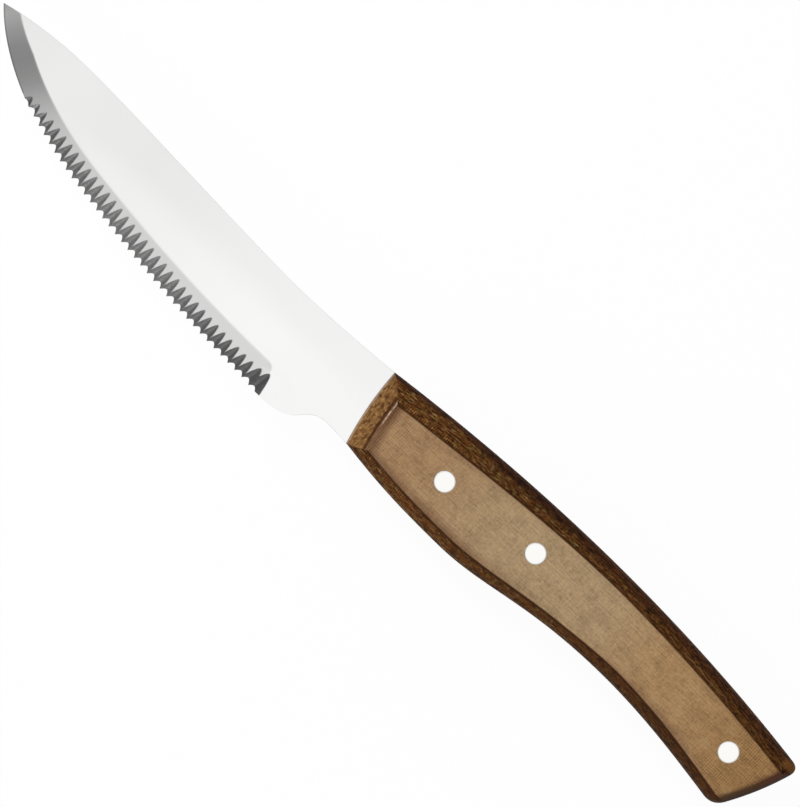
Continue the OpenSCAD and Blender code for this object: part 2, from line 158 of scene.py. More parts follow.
# %% Values that work as numbers do
class Value:
    """An output of a node. A sum or product with it is a new node in the same net."""

    __array_ufunc__ = None      # so that a NumPy number may stand on the left of a sign

    def __init__(self, net, socket):
        self.net, self.socket = net, socket

    def __add__(self, other):
        return self.net.math("ADD", self, other)

    def __sub__(self, other):
        return self.net.math("SUBTRACT", self, other)

    def __rsub__(self, other):
        return self.net.math("SUBTRACT", other, self)

    def __mul__(self, other):
        return self.net.math("MULTIPLY", self, other)

    def __truediv__(self, other):
        return self.net.math("DIVIDE", self, other)

    def __abs__(self):
        return self.net.math("ABSOLUTE", self)

    __radd__, __rmul__ = __add__, __mul__

    def most(self, other):
        """The greater of two values."""
        return self.net.math("MAXIMUM", self, other)

    def step(self, low, high, to_low=0.0, to_high=1.0):
        """Goes softly from to_low to to_high while this value goes from low to high."""
        inputs = {"Value": self, "From Min": low, "From Max": high, "To Min": to_low, "To Max": to_high}
        return self.net.value("MapRange", {"interpolation_type": "SMOOTHSTEP"}, inputs)

    def band(self, middle, half, soft):
        """1 within half of middle, and softly 0 outside."""
        return abs(self - middle).step(half, half + soft, 1.0, 0.0)

    def levels(self, stops):
        """Grey levels read off a list of (value, level) pairs, with straight steps between them."""
        low, high = stops[0][0], stops[-1][0]
        share = self.net.value("MapRange", None, {"Value": self, "From Min": low, "From Max": high})
        ramp = self.net.make("ValToRGB", None, {"Fac": share})
        elements = ramp.color_ramp.elements
        for place, level in stops:
            place = (place - low) / (high - low)
            stop = elements.new(place) if 0 < place < 1 else elements[-1 if place else 0]
            stop.color = (level, level, level, 1)
        return Value(self.net, ramp.outputs[0])

    def blend(self, a, b):
        """Colour a where this value is 0 and colour b where it is 1."""
        return self.net.value("Mix", {"data_type": "RGBA"}, {0: self, 6: a, 7: b}, 2)

    def mix(self, a, b):
        """Number a where this value is 0 and number b where it is 1."""
        return self.net.value("Mix", {"data_type": "FLOAT"}, {0: self, 2: a, 3: b})

    def shade(self, factor):
        """This colour made lighter or darker by a factor."""
        return self.net.value("VectorMath", {"operation": "SCALE"}, {0: self, "Scale": factor})

    def tint(self, red, green, blue):
        """This grey level as a colour, with a share of it in each channel."""
        channels = {"Red": self * red, "Green": self * green, "Blue": self * blue}
        return self.net.value("CombineColor", None, channels)


print("a value knows:", [word for word in vars(Value) if word[0] != "_"])


# %% A class for node nets
class Finish:
    """The node net of a material or of the world, and short words for its nodes."""

    def __init__(self, owner):
        owner.use_nodes = True
        self.owner, self.tree = owner, owner.node_tree
        self.tree.nodes.clear()

    def make(self, kind, settings=None, inputs=None):
        """A new node with its settings, and with its inputs, each a number, a colour or a value."""
        made = self.tree.nodes.new("ShaderNode" + kind)
        for name, setting in (settings or {}).items():
            setattr(made, name, setting)
        for name, given in (inputs or {}).items():
            socket = made.inputs[name]
            if isinstance(given, Value):
                self.tree.links.new(given.socket, socket)
            else:
                socket.default_value = (*given, 1.0) if isinstance(given, tuple) else given
        return made

    def value(self, kind, settings=None, inputs=None, output=0):
        """One output of a new node."""
        return Value(self, self.make(kind, settings, inputs).outputs[output])

    def math(self, operation, *values):
        """The result of one sum on numbers or values."""
        return self.value("Math", {"operation": operation}, dict(enumerate(values)))

    def vector(self, x, y, z):
        return self.value("CombineXYZ", None, {"X": x, "Y": y, "Z": z})

    def split(self, vector):
        """The three numbers of a vector."""
        return [Value(self, part) for part in self.make("SeparateXYZ", None, {"Vector": vector}).outputs]

    def noise(self, x, y, z, detail=2.0, roughness=0.5):
        """A soft random value, mostly from 0.3 to 0.7, with blots about 1 wide in x, y and z."""
        inputs = {"Vector": self.vector(x, y, z), "Scale": 1.0, "Detail": detail, "Roughness": roughness}
        return self.value("TexNoise", None, inputs)

    def drawing_place(self):
        """x, y and z of a point in the drawing's millimetres."""
        place = self.split(self.value("TexCoord", output="Object"))
        return [part * (1 / MM) - start for part, start in zip(place, (*TIP_AT, MIDDLE_Z))]

    def attribute(self, name):
        """What the mesh says at each point, as three numbers."""
        return self.split(self.value("Attribute", {"attribute_name": name}, output="Vector"))

    def bump(self, height, distance):
        """The direction of a surface on which a height of 1 stands that many mm proud."""
        return self.value("Bump", None, {"Height": height, "Distance": distance * MM}, "Normal")

    def surface(self, inputs):
        """Ends the net in a Principled shader with these inputs."""
        self.make("OutputMaterial", None, {"Surface": self.value("BsdfPrincipled", None, inputs)})


print("a finish knows:", [word for word in vars(Finish) if word[0] != "_"])

# %% [markdown]
# ## Floor and light
# The photo's knife lies on pure white, and its steel mirrors a studio that is white
# overhead and darker a little to the side: flat steel comes out nearly white, the tilted
# bevel grey, and the steep gullets dark. So the world is a sky with a bright top, a dark
# ring and a white horizon. Two broad lamps lift the light on the handle to a plain level.
# The floor is white to the camera and to mirrors, yet keeps the knife's soft shadow.

# %% The sky
SKY = [
    (0.00, 1.00), (0.18, 0.98), (0.36, 0.55), (0.50, 0.22), (0.74, 0.20), (0.82, 0.30),
    (0.90, 0.48), (0.955, 0.68), (0.974, 0.80), (0.988, 0.94), (1.00, 1.00),
]

sky = Finish(bpy.data.worlds.new("studio"))
bpy.context.scene.world = sky.owner
towards = sky.split(sky.value("TexCoord", output="Generated"))
overhead = towards[2].levels(SKY)
left = towards[0] * -0.55 + towards[1] * -0.83
background = sky.value("Background", None, {"Color": overhead, "Strength": left.step(0.2, 0.36, 1.0, 0.72)})
sky.make("OutputWorld", None, {"Surface": background})
print("sky stops:", len(SKY))


# %% Two broad lamps
def lamp(name, towards, distance, size, watts):
    """A square area lamp in that direction from the knife, turned to face it."""
    data = bpy.data.lights.new(name, "AREA")
    data.size, data.energy = size, watts
    direction = Vector(towards).normalized()
    made = add_object(name, data)
    made.location = direction * distance
    made.rotation_euler = direction.to_track_quat("Z", "Y").to_euler()


lamp("window", (-0.72, 0.32, 0.62), distance=1.4, size=0.8, watts=12.5)
lamp("fill", (0.1, -0.88, 0.47), distance=1.4, size=0.7, watts=8.0)

# %% The floor
FLOOR_HALF = 3.0
SHADOW_SHARE = 0.05

floor_mesh = bpy.data.meshes.new("floor")
corners = [(x * FLOOR_HALF, y * FLOOR_HALF, 0) for x, y in ((-1, -1), (1, -1), (1, 1), (-1, 1))]
floor_mesh.from_pydata(corners, [], [(0, 1, 2, 3)])
floor = add_object("floor", floor_mesh)
paper = Finish(bpy.data.materials.new("white_paper"))
lit = paper.value("BsdfDiffuse", None, {"Color": (0.8, 0.8, 0.8)})
shown = paper.value("BsdfDiffuse", None, {"Color": (SHADOW_SHARE, SHADOW_SHARE, SHADOW_SHARE)})
glow = paper.value("Emission", None, {"Strength": 1 - SHADOW_SHARE})
seen = paper.value("AddShader", None, {0: shown, 1: glow})
is_seen = paper.value("LightPath", output="Is Camera Ray")
for kind in ("Is Glossy Ray", "Is Transmission Ray"):
    is_seen = is_seen.most(paper.value("LightPath", output=kind))
look = paper.value("MixShader", None, {0: is_seen, 1: lit, 2: seen})
paper.make("OutputMaterial", None, {"Surface": look})
floor_mesh.materials.append(paper.owner)
print("floor side in m:", 2 * FLOOR_HALF)

# %% [markdown]
# ## Outline of the steel
# The blade, the neck and the tang are one piece of sheet steel, cut to one outline. Its
# lower line is the cutting edge, the heel's curve, the neck and the handle's belly. Its
# upper line is the spine and the handle's back. Both lines only ever run towards the butt,
# so each can be asked for its height at any x.

# %% Lines of the handle
BLADE_LEN, HANDLE_LEN = 122.0, 128.6
FRONT_TOP = np.array((BLADE_LEN, 1.4))
FRONT_LOW = np.array((BLADE_LEN + 3.2, -17.8))
BUTT_TOP = np.array((BLADE_LEN + HANDLE_LEN, 0.4))
BUTT_LOW = np.array((BLADE_LEN + HANDLE_LEN - 8.7, -19.3))
PALM = np.array((BLADE_LEN + 0.269 * HANDLE_LEN, -19.9))
WAIST = np.array((BLADE_LEN + 0.624 * HANDLE_LEN, -15.2))
BACK_RISE = 5.15

back_pull = (8 * BACK_RISE - FRONT_TOP[1] - BUTT_TOP[1]) / 3
back_line = curve(
    FRONT_TOP,
    (mix(FRONT_TOP[0], BUTT_TOP[0], 1 / 3), 0.485 * back_pull),
    (mix(FRONT_TOP[0], BUTT_TOP[0], 2 / 3), 0.515 * back_pull),
    BUTT_TOP,
)
belly_line = np.concatenate((
    bend(FRONT_LOW, PALM, (0.33, 0.72), (0.43, 0)),
    bend(PALM, WAIST, (0.3, 0), (0.5, 0))[1:],
    bend(WAIST, BUTT_LOW, (0.38, 0), (0.3, 0.453))[1:],
))
print("handle from", back_line[0].round(1), "to", back_line[-1].round(1))

# %% Lines of the blade
TIP = np.zeros(2)
SPINE_HUMP = np.array((0.19 * BLADE_LEN, 2.7))
SPINE_LOW = np.array((0.77 * BLADE_LEN, 0.05))
NECK = np.array((FRONT_LOW[0] - 5.9, -17.5))
HEEL = np.array((NECK[0] - 15, -23.8))
EDGE_BEND = np.array((45.4, -19.1))

spine_line = np.concatenate((
    bend(TIP, SPINE_HUMP, (0.24, 0.53), (0.4, 0)),
    bend(SPINE_HUMP, SPINE_LOW, (0.22, 0), (0.22, 0))[1:],
    bend(SPINE_LOW, FRONT_TOP, (0.22, 0), (0.33, 0.6))[1:],
))
edge_line = np.concatenate((
    bend(TIP, EDGE_BEND, (0.084, 0.226), (0.638, 0.194)),
    bend(EDGE_BEND, HEEL, (0.33, 0.63), (0.33, 0))[1:],
))
heel_line = bend(HEEL, NECK, (0.735, 0), (0.5, 0))
print("heel at", HEEL.round(1), "neck at", NECK.round(1))


# %% Ends and sides of the handle
BACK_BORDER, BACK_BORDER_MIDDLE = 5.7, 4.0
NARROWING = (0.04, 0.56)     # where it starts and how long it runs, as shares of the handle
BELLY_BORDER, FRONT_BORDER, BUTT_BORDER = 3.0, 5.6, 2.0
FRONT_BOW, BUTT_BOW = 0.6, 0.9


def back_border(x):
    """Width of the back's border, which narrows from the front to the middle of the handle."""
    return mix(BACK_BORDER, BACK_BORDER_MIDDLE, ease((x - BLADE_LEN) / HANDLE_LEN, *NARROWING))


def front_x(y):
    """x of the handle's front at y, which may be a number, an array or a finish's value."""
    t = (FRONT_TOP[1] - y) / (FRONT_TOP[1] - FRONT_LOW[1])
    return FRONT_TOP[0] + (FRONT_LOW[0] - FRONT_TOP[0]) * t - 4 * FRONT_BOW * t * (1 - t)


def butt_straight_x(y):
    return BUTT_TOP[0] + (BUTT_LOW[0] - BUTT_TOP[0]) * (BUTT_TOP[1] - y) / (BUTT_TOP[1] - BUTT_LOW[1])


def butt_x(y):
    """x of the butt at y, which may be a number, an array or a finish's value."""
    t = (BUTT_TOP[1] - y) / (BUTT_TOP[1] - BUTT_LOW[1])
    return butt_straight_x(y) + 4 * BUTT_BOW * t * (1 - t)


def side_y(x, is_back, inset):
    """Height of the back or the belly at x, drawn in by a share of its border."""
    if is_back:
        return np.interp(x, *back_line.T) - inset * back_border(x)
    return np.interp(x, *belly_line.T) + inset * BELLY_BORDER


print("width of the back's border at the front:", back_border(BLADE_LEN))

# %% Half of the handle's outline, drawn in by any share of its border
BUTT_ROUNDS = {True: 2.6, False: 3.0}     # at the back and at the belly
INNER_ROUND_SHARE = 0.2
SIDE_STEPS, END_STEPS, CORNER_STEPS = 240, 20, 14


def half_outline(is_back, inset, end_inset, with_front=True):
    """Half of the handle's outline, from the middle of its front to the middle of its butt."""
    front, butt, other = (FRONT_TOP, BUTT_TOP, BUTT_LOW) if is_back else (FRONT_LOW, BUTT_LOW, BUTT_TOP)
    front_inset, butt_inset = end_inset * FRONT_BORDER, end_inset * BUTT_BORDER
    start_y = side_y(front[0] + front_inset, is_back, inset)
    corner_y = side_y(butt[0] - butt_inset, is_back, inset)
    corner = np.array((butt_straight_x(corner_y) - butt_inset, corner_y))
    round_len = BUTT_ROUNDS[is_back] * mix(1, INNER_ROUND_SHARE, min(inset, 1))
    last_x = corner[0] - round_len
    last = np.array((last_x, side_y(last_x, is_back, inset)))
    butt_y = corner[1] + (other - butt)[1] * round_len / np.linalg.norm(other - butt)
    end = np.array((butt_x(butt_y) - butt_inset, butt_y))
    half_steps = (2 * np.arange(1, END_STEPS + 1) - 1) / (2 * END_STEPS)
    front_ys = mix((FRONT_TOP[1] + FRONT_LOW[1]) / 2, start_y, half_steps)
    front_points = np.stack((front_x(front_ys) + front_inset, front_ys), 1)
    side_xs = mix(front_x(start_y) + front_inset, last_x, np.arange(SIDE_STEPS) / SIDE_STEPS)
    side_points = np.stack((side_xs, side_y(side_xs, is_back, inset)), 1)
    t = np.linspace(0, 1, CORNER_STEPS + 1)[:, None]
    corner_points = (1 - t) ** 2 * last + 2 * (1 - t) * t * corner + t * t * end
    butt_ys = mix(butt_y, (BUTT_TOP[1] + BUTT_LOW[1]) / 2, half_steps)
    butt_points = np.stack((butt_x(butt_ys) - butt_inset, butt_ys), 1)
    parts = [front_points] if with_front else []
    return np.concatenate(parts + [side_points, corner_points, butt_points])


belly_half = half_outline(False, 0, 0, with_front=False)
back_half = half_outline(True, 0, 0, with_front=False)
print("points on half an outline:", len(belly_half))

# %% Lower and upper line of the whole piece of steel
handle_loop = np.concatenate((belly_half, back_half[::-1]))
furthest = int(np.argmax(handle_loop[:, 0]))
low_line = np.concatenate((edge_line, heel_line[1:], handle_loop[:furthest + 1]))
high_line = np.concatenate((spine_line, handle_loop[furthest:][::-1][1:]))
for line in (low_line, high_line):
    assert (np.diff(line[:, 0]) > -1e-9).all(), "a line runs back towards the tip"


def low_y(x):
    return np.interp(x, *low_line.T)


def high_y(x):
    return np.interp(x, *high_line.T)


steel_end = handle_loop[furthest, 0]
print("steel ends at x =", round(steel_end, 2))

# %% [markdown]
# ## The ground bevel
# A wheel grinds the edge from both sides. The bevel rises in a straight slope from a
# cutting edge 0.16 mm thick to the full steel, and it is wider at the heel than at the
# tip. Seen from above the slope only shows as a change of tone, so the soft bend where it
# meets the flat has to be real geometry. The height is worked out at each point from its
# distance to the edge line, as the wheel would leave it. Near the heel the wheel lifts off
# along a rounded line, in a gentle ramp on the near face that is gentlest in the corner. On
# the far face it runs a little further and leaves a steep ramp, so that the last tooth can
# end in a slope.

# %% Height of the bevel
EDGE_T = 0.16
BEND_SOFT, END_SOFT = 0.05, 0.02
BEVEL_END_R = 2.0
NEAR_END, FAR_END = (HEEL[0] - 2.5, 0.17), (HEEL[0] - 1.5, 2.0)     # each its x and its ramp's slope
CORNER_SHARE, CORNER_UP = 0.65, (-3.4, 0.2)
BEVEL_WIDTHS, WIDTHS_AT = (3.6, 5.2, 7.4), (0, 0.1, 1)
SEARCH_MM = 14


def soft_least(a, b, softness):
    """The lesser of a and b, with a rounded bend of that height where they meet."""
    h = np.maximum(softness - np.abs(a - b), 0) / softness
    return np.minimum(a, b) - h * h * softness / 4


def bevel_w(x):
    """Width of the bevel, by the place on the cutting edge."""
    return np.interp(x / HEEL[0], WIDTHS_AT, BEVEL_WIDTHS)


def bevel_height(x, y):
    """Height of the bevel's slope over the middle of the steel, and the distance from the edge."""
    shape = x.shape
    points = np.stack((x.ravel(), y.ravel()), 1)
    distance = np.full(len(points), 1e9)
    place = np.zeros(len(points))
    for a, b in zip(edge_line[:-1], edge_line[1:]):
        near = np.abs(points[:, 0] - (a[0] + b[0]) / 2) < SEARCH_MM
        run = b - a
        t = np.clip((points[near] - a) @ run / (run @ run), 0, 1)
        away = np.linalg.norm(points[near] - a - t[:, None] * run, axis=1)
        index = np.flatnonzero(near)
        closer = away < distance[index]
        distance[index[closer]] = away[closer]
        place[index[closer]] = a[0] + t[closer] * run[0]
    height = EDGE_T / 2 + (STEEL_T - EDGE_T) / 2 * distance / bevel_w(place)
    return height.reshape(shape), distance.reshape(shape)


print("width of the bevel at the heel:", bevel_w(HEEL[0]))


# %% Height of one ground face
def bevel_end_ramp(x, y, end_x, slope):
    """How far the wheel's ramp near the heel lies under the flat, for a bevel that ends at end_x."""
    start_x = end_x - BEVEL_END_R
    up = y - np.interp(start_x, *edge_line.T) - bevel_w(start_x) + BEVEL_END_R
    round_corner = np.where(x > start_x, BEVEL_END_R - np.hypot(x - start_x, up), STEEL_T / slope)
    slope = slope * mix(1, CORNER_SHARE, smooth(*CORNER_UP, up))
    return slope * np.maximum(np.where(up > 0, round_corner, end_x - x), 0)


def steel_height(x, y, bevel_end=NEAR_END):
    """Height of one ground face before the serrations."""
    slope, _ = bevel_height(x, y)
    end = HALF_T - bevel_end_ramp(x, y, *bevel_end)
    full = np.full_like(slope, HALF_T)
    return np.maximum(soft_least(slope, full, BEND_SOFT), soft_least(end, full, END_SOFT))


test_height = steel_height(np.array([60.0]), np.array([-19.0]))
print("steel's half thickness near the edge at x = 60:", test_height.round(3))

# %% [markdown]
# ## The serrations
# A profiled wheel cuts gullets from one side only. Each is a sloping groove that starts in
# a point on the bevel and comes out on the far side, where it leaves a notch in the edge.
# Between two gullets the bevel is left as a bright spike. All gullets lean the same way.
# The first ones are shorter, and the last one is shallower and rounder. The grooves are
# taken off the height of the bevel, so their walls are true surfaces and catch the light
# as ground steel does.

# %% Places and depths of the gullets
PITCH = 2.27
GULLET_LEN, FIRST_LEN, HEEL_LEN, LAST_LEN = 5.1, 1.7, 4.6, 3.4
NOTCH, FIRST_NOTCH, LAST_NOTCH = 1.25, 0.3, 0.75
LEAN = math.radians(8)
FIRST_X, LAST_X = 18.5, HEEL[0] - 3.2
ROOT_SOFT, HEEL_SOFT, LAST_SOFT = 0.38, 0.5, 1.2
WALL_SHARE, FIRST_STEEPER = 0.93, 1.5
GROWN_AT, LEN_POWER, NOTCH_POWER = 0.5, 5, 20
SHORTENING, ROUNDER_X = (0.58, 0.27), (60, 95)
GULLETS = 1 + math.floor((LAST_X - FIRST_X) / PITCH)

gullet_way = np.array((math.sin(LEAN), math.cos(LEAN)))
gullet_across = np.array((gullet_way[1], -gullet_way[0]))
numbers = np.arange(GULLETS)
gullet_x = LAST_X - (GULLETS - 1 - numbers) * PITCH
gullet_feet = np.stack((gullet_x, np.interp(gullet_x, *edge_line.T)), 1)
still_growing = 1 - np.minimum(1, numbers / (GROWN_AT * GULLETS))
full_len = mix(GULLET_LEN, HEEL_LEN, ease(gullet_x / HEEL[0], *SHORTENING))
reach = mix(FIRST_LEN, full_len, 1 - still_growing ** LEN_POWER)
depth = mix(FIRST_NOTCH, NOTCH * full_len / GULLET_LEN, 1 - still_growing ** NOTCH_POWER)
reach[-1], depth[-1] = LAST_LEN, LAST_NOTCH
root_soft = mix(ROOT_SOFT, HEEL_SOFT, smooth(*ROUNDER_X, gullet_x))
root_soft[-1] = LAST_SOFT


def square_to(ways):
    """Directions of length 1 that lie square to these ones, on their left."""
    return np.stack((-ways[:, 1], ways[:, 0]), 1) / np.linalg.norm(ways, axis=1)[:, None]


def along_gullet(k, distance):
    """Height of the bevel's slope on gullet k's middle line, that far in from the edge."""
    point = gullet_feet[k] + distance * gullet_way
    return float(bevel_height(point[:1], point[1:])[0][0])


top_z = np.array([along_gullet(k, reach[k]) for k in numbers])
notch_z = np.array([along_gullet(k, depth[k]) for k in numbers])
fall = (top_z + notch_z) / (reach - depth)
wall_h = WALL_SHARE * (fall * reach - top_z - EDGE_T / 2)
wall_h[-1] = wall_h[-2]
wall_slope = np.sqrt((wall_h + root_soft) ** 2 - root_soft ** 2) / (PITCH / 2)
wall_slope[0] *= FIRST_STEEPER
foot_at = np.searchsorted(edge_line[:, 0], gullet_feet[:, 0])
inward = square_to(edge_line[foot_at] - edge_line[foot_at - 1])
print("gullets:", GULLETS, "from x =", gullet_x[0].round(2), "wall slope:", wall_slope[20].round(2))


# %% Height of the steel with its gullets
def gullet_height(x, y):
    """Height of the deepest gullet's surface at each point, and how far its root is on the left."""
    lowest = np.full(x.shape, 9.0)
    flank = np.zeros(x.shape)
    for k in numbers:
        near = np.abs(x - gullet_x[k]) < 3 * PITCH
        dx, dy = x[near] - gullet_feet[k, 0], y[near] - gullet_feet[k, 1]
        along = (dx * inward[k, 0] + dy * inward[k, 1]) / (gullet_way @ inward[k])
        across = dx * gullet_across[0] + dy * gullet_across[1]
        root = top_z[k] - fall[k] * (reach[k] - along)
        wall = np.sqrt((wall_slope[k] * across) ** 2 + root_soft[k] ** 2) - root_soft[k]
        is_lower = root + wall < lowest[near]
        lowest[near] = np.where(is_lower, root + wall, lowest[near])
        flank[near] = np.where(is_lower, across, flank[near])
    return lowest, flank


root_z, _ = gullet_height(gullet_x[20:21], gullet_feet[20:21, 1])
print("height of a gullet's root at the edge line:", root_z.round(2))

# %% The notches that the gullets leave in the edge
TOOTH_GAP = 0.02
COLUMNS_A_TOOTH = 22
PROBE_MM, PROBES = 3, 241

tooth_x = np.arange(gullet_x[0] - PITCH, HEEL[0] + 0.6, PITCH / COLUMNS_A_TOOTH)
probe = np.linspace(0, PROBE_MM, PROBES)
grid_x = np.repeat(tooth_x[:, None], len(probe), 1)
grid_y = low_y(grid_x) + probe
under = -steel_height(grid_x, grid_y, FAR_END)
over = np.minimum(steel_height(grid_x, grid_y), gullet_height(grid_x, grid_y)[0])
is_gone = over - under < TOOTH_GAP
last_gone = np.where(is_gone.any(1), len(probe) - 1 - np.argmax(is_gone[:, ::-1], 1), 0)
rows = np.arange(len(tooth_x))
here, beyond = last_gone, np.minimum(last_gone + 1, len(probe) - 1)
gap_here, gap_beyond = ((over - under)[rows, at] - TOOTH_GAP for at in (here, beyond))
part = np.where(is_gone.any(1), -gap_here / np.maximum(gap_beyond - gap_here, 1e-6), 0)
notch_up = mix(probe[here], probe[beyond], np.clip(part, 0, 1)) * is_gone.any(1)
print("deepest notch in mm:", notch_up.max().round(2))


def edge_y(x):
    """Lower line of the steel, with the teeth cut into it."""
    return low_y(x) + np.interp(x, tooth_x, notch_up, 0, 0)


# %% [markdown]
# ## The blade's mesh
# The steel is a thin sheet, so its mesh is two grids, one for each face, sewn together
# round the rim. Each column of a grid runs from the edge to the spine. Columns lie 0.1 mm
# apart through the teeth and far apart along the plain tang. Most of the rows follow the
# bevel. Sculpting or a boolean cut could not put points exactly on the creases, as this
# does. A mesh attribute remembers where the wheels have ground, for the finish to use.

# %% Columns and rows of the grids
SPINE_ROUND = 0.05
BUTT_FROM = 238
ROWS_PAST_BEND = 0.6
MOST_SHARE, HANDLE_SHARE, FLAT_SHARE, MOST_RIM_SHARE = 0.8, 0.4, 0.92, 0.08
EDGE_SHARES, RIM_ROWS = (0, 0.003, 0.007), (1.6, 0.9, 0.5, 0.25, 0.12)

columns = np.concatenate((
    np.linspace(0.03, tooth_x[0], 90)[:-1],
    tooth_x,
    np.linspace(tooth_x[-1], BLADE_LEN + 4, 60)[1:],
    np.linspace(BLADE_LEN + 4, BUTT_FROM, 90)[1:],
    mix(BUTT_FROM, steel_end - 0.004, np.sin(np.linspace(0, np.pi / 2, 60)))[1:],
))
bevel_top = edge_line + bevel_w(edge_line[:, :1]) * square_to(np.gradient(edge_line, axis=0))


def grid_rows(bevel_rows, flat_rows):
    """y of each point of a grid, column by column from the edge to the spine."""
    low, high = edge_y(columns), high_y(columns)
    crease = np.interp(columns, *bevel_top.T) + ROWS_PAST_BEND
    crease = np.minimum(crease, mix(low, high, MOST_SHARE))
    crease = mix(crease, mix(low, high, HANDLE_SHARE), smooth(HEEL[0], BLADE_LEN, columns))
    shares = np.concatenate((EDGE_SHARES, np.linspace(0.02, 1, bevel_rows - 2)))
    lower = low[:, None] + (crease - low)[:, None] * shares
    rise = (high - crease)[:, None]
    rim = np.array(RIM_ROWS) * SPINE_ROUND
    inner = np.minimum(rim, MOST_RIM_SHARE * rise * rim / rim[0])
    flat = crease[:, None] + rise * FLAT_SHARE * np.linspace(0, 1, flat_rows + 1)[1:]
    return np.concatenate((lower, flat, high[:, None] - inner, high[:, None]), 1)


def rim_round(x, y):
    """Height of the broken edge round the sheet, where it is not ground."""
    height = np.full(x.shape, HALF_T)
    for off in (high_y(x) - y, y - edge_y(x)):
        inside = np.clip(1 - off / SPINE_ROUND, 0, 1)
        height = np.minimum(height, HALF_T - SPINE_ROUND * (1 - np.sqrt(1 - inside ** 2)))
    return height


print("columns:", len(columns))


# %% Heights and marks of one face
BARE_AHEAD = 0.9
BEVEL_SOFT, GULLET_SOFT = (0.0, 0.025), (-0.004, 0.02)     # where a mark starts and is full, in mm
BARE_EDGE_SOFT, FLANK_SOFT = (0.45, 0.1), (0, 0.6)


def face_grid(ys, is_serrated):
    """Points of one face, and at each the marks of the bevel, of a gullet and of a gullet's flank.

    The third mark is a gullet's right flank or, ahead of the first gullet, the bare cutting edge, where the
    finish paints shade.
    """
    xs = np.repeat(columns[:, None], ys.shape[1], 1)
    whole = steel_height(xs, ys, NEAR_END if is_serrated else FAR_END)
    height = np.minimum(whole, rim_round(xs, ys))
    ground = smooth(*BEVEL_SOFT, HALF_T - whole)
    gullet, across = np.zeros_like(height), np.zeros_like(height)
    if is_serrated:
        least = TOOTH_GAP / 2 - steel_height(xs, ys, FAR_END)
        groove, across = gullet_height(xs, ys)
        in_teeth = (xs > tooth_x[0]) & (xs < HEEL[0])
        gullet = smooth(*GULLET_SOFT, whole - groove) * in_teeth
        height = np.where(in_teeth, np.maximum(np.minimum(height, groove), least), height)
    bare_edge_painted_shade = smooth(*BARE_EDGE_SOFT, bevel_height(xs, ys)[1])
    flank = np.where(xs < gullet_x[0] - BARE_AHEAD, bare_edge_painted_shade, smooth(*FLANK_SOFT, across))
    side = 1 if is_serrated else -1
    return np.stack((xs, ys, side * height), 2), np.stack((ground, gullet, flank), 2)


def remember(mesh, name, marks):
    """Keeps three numbers at each point of a mesh, for a finish to read."""
    flat_marks = np.asarray(marks, np.float32).ravel()
    mesh.attributes.new(name, "FLOAT_VECTOR", "POINT").data.foreach_set("vector", flat_marks)


print("height at the spine in mm:", HALF_T)


# %% Sew the two faces into one closed sheet
upper, upper_marks = face_grid(grid_rows(46, 9), True)
lower, lower_marks = face_grid(grid_rows(12, 5), False)
count, upper_rows, lower_rows = len(columns), upper.shape[1], lower.shape[1]
upper_at = np.arange(count * upper_rows).reshape(count, upper_rows)
lower_at = count * upper_rows + np.arange(count * lower_rows).reshape(count, lower_rows)


def quads(at):
    """Faces between neighbouring columns and rows of a grid of point numbers."""
    return np.stack((at[:-1, :-1], at[1:, :-1], at[1:, 1:], at[:-1, 1:]), 2).reshape(-1, 4).tolist()


faces = quads(upper_at) + [face[::-1] for face in quads(lower_at)]
faces += quads(np.stack((lower_at[:, 0], upper_at[:, 0]), 1))
faces += quads(np.stack((upper_at[:, -1], lower_at[:, -1]), 1))
for end, turn in ((0, 1), (-1, -1)):
    faces.append([*upper_at[end][::-turn], *lower_at[end][::turn]])
blade_mesh = bpy.data.meshes.new("ground_blade")
points, marks = (
    np.concatenate([side.reshape(-1, 3) for side in sides])
    for sides in ((upper, lower), (upper_marks, lower_marks))
)
blade_mesh.from_pydata(to_frame(points).tolist(), [], faces)
# The marks also tell the finish where to paint shade on the bevel and in the gullets.
remember(blade_mesh, "wheel_marks_and_painted_shade", marks)
print("faces of the blade:", len(faces))


# %% Put a piece in the scene
SHARP_OVER = 35


def add_piece(mesh, nodes):
    """A finished mesh as a piece that rides on the knife and stands for CAD nodes."""
    mesh.validate()
    mesh.shade_smooth()
    mesh.set_sharp_from_angle(angle=math.radians(SHARP_OVER))
    piece = add_object(mesh.name, mesh)
    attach(piece, "root")
    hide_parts(*nodes)
    return piece


blade = add_piece(blade_mesh, ["blade"])
print("blade from", blade.bound_box[0][0] / MM, "to", blade.bound_box[6][0] / MM)

# %% [markdown]
# ## Ground steel
# The steel has several finishes. Its faces have a fine satin, brushed along the blade, and
# their brightness along the blade is painted reflection. The bevel is ground coarser, across
# the edge, and is painted a little darker as shade, most of all at the bare cutting edge by
# the tip. The gullets are roughest, as the wheel leaves them, and are painted darkest as
# shade, most of all on their right flanks.
# The rim is sheared and dull. One material does them all: it reads in the mesh attribute
# where the wheels went, and takes what faces sideways for the rim.

# %% The blade's material
# Painted light: these levels paint reflection on the faces and the bevel, and shade in the gullets.
FACE_PAINTED_REFLECTION = [(5.0, 0.85), (22.0, 0.89), (50.0, 0.86), (65.0, 0.88), (85.0, 0.92), (108.0, 0.94)]
BEVEL_PAINTED_REFLECTION = [
    (0.0, 0.86), (2.0, 0.92), (5.0, 0.66), (8.0, 0.48), (10.5, 0.43), (13.0, 0.46),
    (15.0, 0.51), (18.0, 0.67), (21.5, 0.83), (26.0, 0.93), (37.0, 0.96), (71.0, 0.93),
]
GULLET_PAINTED_SHADE = [(19.0, 0.20), (33.0, 0.24), (48.0, 0.32), (72.0, 0.30), (88.0, 0.20), (104.0, 0.17)]

steel = Finish(bpy.data.materials.new("ground_steel"))
x, y, z = steel.drawing_place()
bevel_mark, gullet_mark, flank_painted_shade_mask = steel.attribute("wheel_marks_and_painted_shade")

